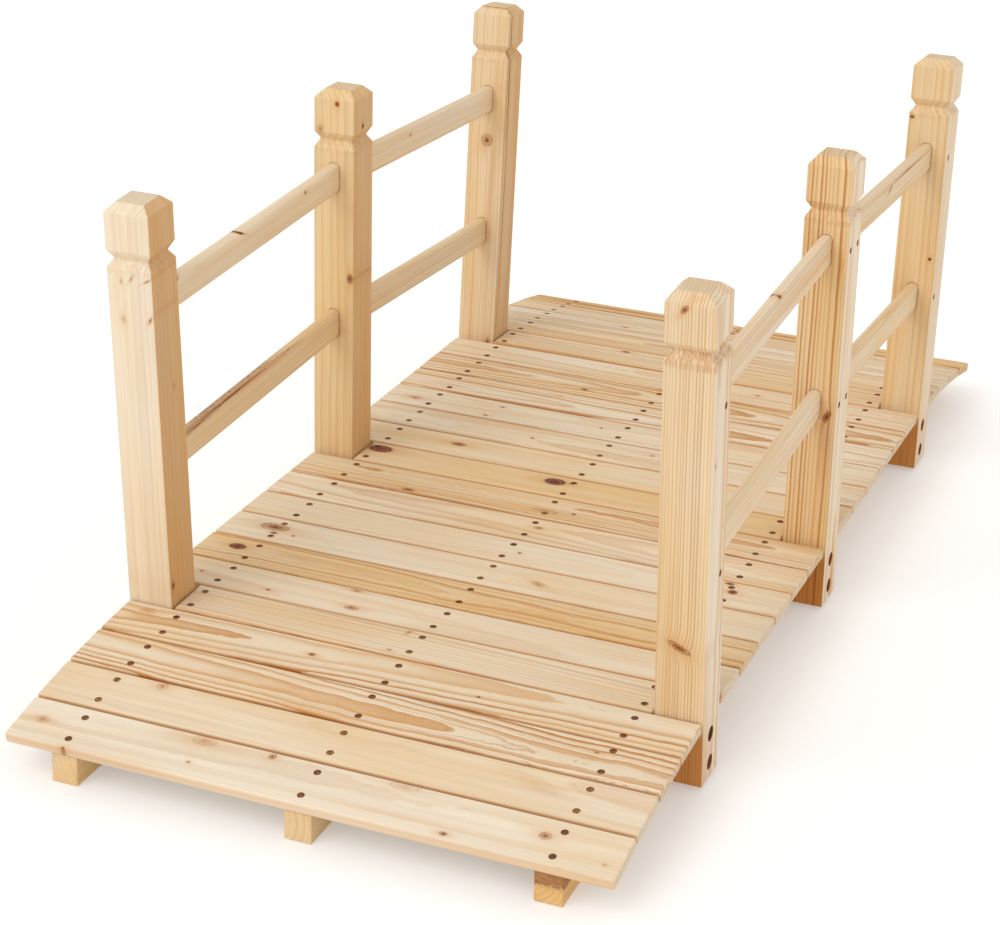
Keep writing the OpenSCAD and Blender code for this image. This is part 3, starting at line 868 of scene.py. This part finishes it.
GROOVE_DOWN, GROOVE_HALF = 67 * MM, 13 * MM  # from a post's top to its groove, and its reach
for name, (values, knots, side_knots) in POSTS.items():
    ease(nodes[name], *POST_ROUND)
    centre, grain, across, out = axes_of(name)
    side = 1 if centre.y > 0 else -1
    outward = Vector((0, side, 0))
    places = rail_screws(name)
    holes = bmesh.new()
    pin(f"screws_{name}", places, outward, yellow_zinc, holes)
    if name == CRACKED_POST:
        start = Vector((centre.x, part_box(name)[0].y, centre.z)) + grain * 268 * MM
        crack(holes, start + out * (reach(name, out, centre)[1] - 5 * MM), -grain, -out, outward,
              length=330, width=1.3, depth=6, steps=44)
    cutter_for(name, holes)

    # The bolts' heads lie in the counterbores, and their nuts inside the stringer.
    floor_y = outer_face(name) - side * COUNTERBORE * MM
    low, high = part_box("stringer_left" if side > 0 else "stringer_right")
    inner_y = min(low.y, high.y, key=abs)
    bm = bmesh.new()
    # Painted shade in each screw's hole and, below, in each counterbore.
    hole_shades = [(place, SCREW_HOLE_SHADE * MM) for place in places]
    for spot in bolt_centres(name, floor_y):
        bolt_end(bm, frame_at(spot, outward, rng.uniform(0, 1)), BOLT_HEAD_TALL, False)
        inside = Vector((spot.x, inner_y, spot.z))
        bolt_end(bm, frame_at(inside, -outward, rng.uniform(0, 1)), NUT_TALL, True)
        # Painted shade in the counterbore.
        hole_shades.append((spot + outward * COUNTERBORE * MM / 2, BORE_SHADE * MM))
    groove = (reach(name, grain, centre)[1] - GROOVE_DOWN, GROOVE_HALF, TORN[name])
    # Below the stringers' top the posts take painted shade, for the shade under the deck.
    paint(name, pine(name, values, knots, side_knots, hole_shades, deep=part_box("stringer_left")[1].z,
                     side=SIDE_LIGHT_AND_SHADE[name], torn=groove))
    mesh_object("bolts_" + name, bm, grey_zinc)

for name, (values, knots) in (RAILS | STRINGERS).items():
    paint(name, pine(name, values, knots))
for name in STRINGERS:
    ease(nodes[name], *STRINGER_ROUND)

# ------------------------------------------------------------------------- stage
scene = bpy.context.scene
scene.view_settings.view_transform = "Standard"
scene.view_settings.look = "None"

# The floor glows, a painted light, so it is white away from the bridge and its shadows stay soft.
# The glow is weaker under and near the bridge, a painted shadow there.
FLOOR_COLOR, GLOW_COLOR = (0.56, 0.54, 0.515, 1.0), (1.0, 0.99, 0.975, 1.0)
FOOTPRINT = (0.64, 0.24, 0.0)
GLOW_REACH, GLOW_UNDER, GLOW_OPEN = 0.17, 0.27, 0.50
mesh = bpy.data.meshes.new("floor")
bm = bmesh.new()
bmesh.ops.create_grid(bm, x_segments=1, y_segments=1, size=60.0)
bm.to_mesh(mesh)
bm.free()
floor = bpy.data.objects.new("floor", mesh)
scene.collection.objects.link(floor)
material = bpy.data.materials.new("floor")
material.use_nodes = True
m = Graph(material.node_tree)
shader = next(n for n in m.tree.nodes if n.type == "BSDF_PRINCIPLED")
shader.inputs["Base Color"].default_value = FLOOR_COLOR
shader.inputs["Emission Color"].default_value = GLOW_COLOR
beyond = m.vector("ABSOLUTE", m.add("ShaderNodeTexCoord").outputs["Object"])
beyond = m.vector("MAXIMUM", m.vector("SUBTRACT", beyond, FOOTPRINT), (0.0, 0.0, 0.0))
# Painted shadow: the glow is weakest under the bridge's footprint and grows over GLOW_REACH beyond
# it.
glow = m.ramp(m.vector("LENGTH", beyond), 0.0, GLOW_REACH, GLOW_UNDER, GLOW_OPEN)
m.put(glow, shader.inputs["Emission Strength"])
shader.inputs["Roughness"].default_value = 0.9
shader.inputs["Specular IOR Level"].default_value = 0.0
mesh.materials.append(material)

SKY = 0.745
world = bpy.data.worlds.new("studio")
world.use_nodes = True
world.node_tree.nodes["Background"].inputs[0].default_value = (1.0, 1.0, 1.0, 1.0)
world.node_tree.nodes["Background"].inputs[1].default_value = SKY
scene.world = world


def sun(name, direction, strength, angle, color):
    """A soft light from a direction. The angle is its width in degrees."""
    light = bpy.data.lights.new(name, "SUN")
    light.energy = strength
    light.angle = math.radians(angle)
    light.color = color
    lamp = bpy.data.objects.new(name, light)
    lamp.rotation_euler = Vector(direction).to_track_quat("Z", "Y").to_euler()
    scene.collection.objects.link(lamp)


sun("key", (-0.62, 0.30, 0.72), 1.2, 45, (1.0, 1.0, 1.0))
sun("fill", (-0.15, -0.95, 0.35), 0.34, 90, (0.93, 0.97, 1.0))

# ------------------------------------------------------------------------ camera
# Where the photo was taken from, found from the corners of the boards and posts.
CAMERA_AT = (-2.6919, -0.9881, 1.3563)
YAW, PITCH, ROLL = math.radians(21.84), math.radians(-20.10), math.radians(1.50)
LENS, SENSOR = 92.3, 36.0
SHIFT_X, SHIFT_Y = -0.004, -0.148
forward = Vector((math.cos(PITCH) * math.cos(YAW), math.cos(PITCH) * math.sin(YAW),
                  math.sin(PITCH)))
level = Vector((math.sin(YAW), -math.cos(YAW), 0.0))
upright = level.cross(forward)
right = level * math.cos(ROLL) + upright * math.sin(ROLL)
up = upright * math.cos(ROLL) - level * math.sin(ROLL)
lens = bpy.data.cameras.new("camera")
lens.sensor_width = SENSOR
lens.lens = LENS
lens.shift_x = SHIFT_X
lens.shift_y = SHIFT_Y
lens.clip_end = 200.0
camera = bpy.data.objects.new("camera", lens)
turned = Matrix((right, up, -forward)).transposed().to_4x4()
camera.matrix_world = Matrix.Translation(CAMERA_AT) @ turned
scene.collection.objects.link(camera)
scene.camera = camera
